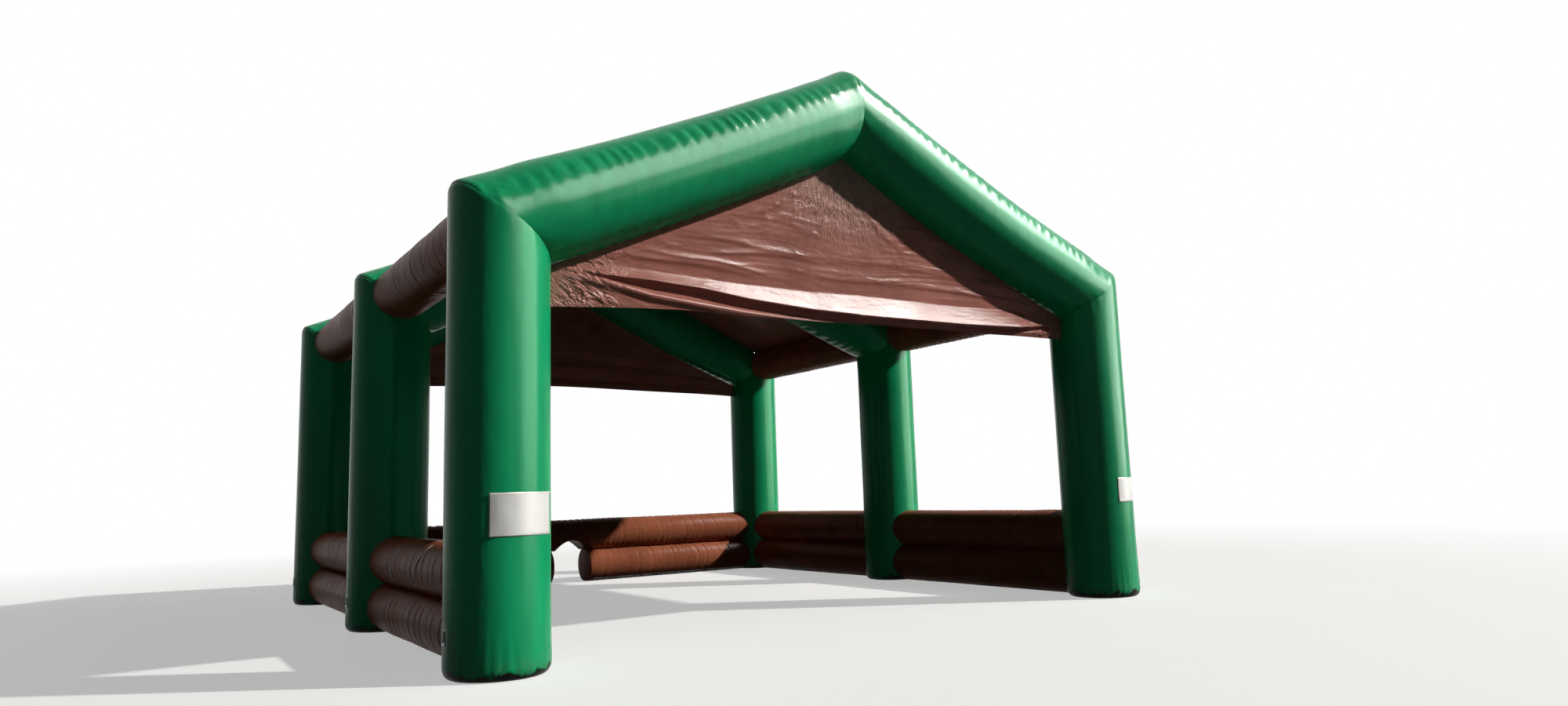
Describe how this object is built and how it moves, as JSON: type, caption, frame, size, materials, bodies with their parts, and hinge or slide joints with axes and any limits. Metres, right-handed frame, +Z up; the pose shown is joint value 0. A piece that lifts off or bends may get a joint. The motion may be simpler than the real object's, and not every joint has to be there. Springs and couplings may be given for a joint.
{
  "type": "inflatable tent",
  "caption": "Open-fronted event tent of air-filled arches and beams with low air-filled walls, roof cloth, hanging gable cloths and ground anchor rings.",
  "frame": {"origin": "on the ground under the middle of the tent's overall box", "axes": "+Z up, -Y out of the open front, +X to the right of someone facing +Y from the front"},
  "size_m": [9.0222, 10.007, 6.3324],
  "materials": {
    "green_vinyl": "satin",
    "brown_vinyl": "satin",
    "brown_canvas": "satin",
    "white_panel": "satin",
    "grey_webbing": "matte",
    "zinc_steel": "satin",
    "black_zip": "matte"
  },
  "bodies": {
    "tent": {"front_left_leg": "green_vinyl", "front_left_rafter": "green_vinyl", "front_left_anchor_tab": "grey_webbing", "front_right_leg": "green_vinyl", "front_right_rafter": "green_vinyl", "front_right_anchor_tab": "grey_webbing", "middle_left_leg": "green_vinyl", "middle_left_rafter": "green_vinyl", "middle_left_anchor_tab": "grey_webbing", "middle_right_leg": "green_vinyl", "middle_right_rafter": "green_vinyl", "middle_right_anchor_tab": "grey_webbing", "rear_left_leg": "green_vinyl", "rear_left_rafter": "green_vinyl", "rear_left_anchor_tab": "grey_webbing", "rear_right_leg": "green_vinyl", "rear_right_rafter": "green_vinyl", "rear_right_anchor_tab": "grey_webbing", "front_left_eave_beam": "brown_vinyl", "front_left_wall_lower": "brown_vinyl", "front_left_wall_upper": "brown_vinyl", "front_left_roof_cloth": "brown_canvas", "front_right_eave_beam": "brown_vinyl", "front_right_wall_lower": "brown_vinyl", "front_right_wall_upper": "brown_vinyl", "front_right_roof_cloth": "brown_canvas", "rear_left_eave_beam": "brown_vinyl", "rear_left_wall_lower": "brown_vinyl", "rear_left_wall_upper": "brown_vinyl", "rear_left_roof_cloth": "brown_canvas", "rear_right_eave_beam": "brown_vinyl", "rear_right_wall_lower": "brown_vinyl", "rear_right_wall_upper": "brown_vinyl", "rear_right_roof_cloth": "brown_canvas", "rear_wall_lower_left": "brown_vinyl", "rear_wall_lower_right": "brown_vinyl", "rear_wall_upper": "brown_vinyl", "front_gable_cloth": "brown_canvas", "rear_gable_cloth": "brown_canvas", "left_sign_panel": "white_panel", "right_sign_panel": "white_panel", "wall_strap_1": "grey_webbing", "wall_strap_2": "grey_webbing", "wall_strap_3": "grey_webbing", "wall_strap_4": "grey_webbing", "sleeve_tie_strap": "grey_webbing", "inflation_sleeve": "green_vinyl", "deflation_zip": "black_zip"},
    "front_left_ring": {"front_left_anchor_ring": "zinc_steel"},
    "front_right_ring": {"front_right_anchor_ring": "zinc_steel"},
    "middle_left_ring": {"middle_left_anchor_ring": "zinc_steel"},
    "middle_right_ring": {"middle_right_anchor_ring": "zinc_steel"},
    "rear_left_ring": {"rear_left_anchor_ring": "zinc_steel"},
    "rear_right_ring": {"rear_right_anchor_ring": "zinc_steel"},
    "zip_slider": {"deflation_zip_slider": "zinc_steel"}
  },
  "joints": [
    {"name": "front_left_ring_swing", "type": "hinge", "parent": "tent", "child": "front_left_ring", "pos_m": [-4.49065, -4.515, 0.32], "axis": [0, 1, 0], "range_deg": [0, 150]},
    {"name": "front_right_ring_swing", "type": "hinge", "parent": "tent", "child": "front_right_ring", "pos_m": [4.49065, -4.515, 0.32], "axis": [0, -1, 0], "range_deg": [0, 150]},
    {"name": "middle_left_ring_swing", "type": "hinge", "parent": "tent", "child": "middle_left_ring", "pos_m": [-4.49065, -0.235, 0.32], "axis": [0, 1, 0], "range_deg": [0, 150]},
    {"name": "middle_right_ring_swing", "type": "hinge", "parent": "tent", "child": "middle_right_ring", "pos_m": [4.49065, -0.235, 0.32], "axis": [0, -1, 0], "range_deg": [0, 150]},
    {"name": "rear_left_ring_swing", "type": "hinge", "parent": "tent", "child": "rear_left_ring", "pos_m": [-4.49065, 4.045, 0.32], "axis": [0, 1, 0], "range_deg": [0, 150]},
    {"name": "rear_right_ring_swing", "type": "hinge", "parent": "tent", "child": "rear_right_ring", "pos_m": [4.49065, 4.045, 0.32], "axis": [0, -1, 0], "range_deg": [0, 150]},
    {"name": "zip_slider_run", "type": "slide", "parent": "tent", "child": "zip_slider", "axis": [0, 0, 1], "range_m": [0, 0.55]}
  ]
}
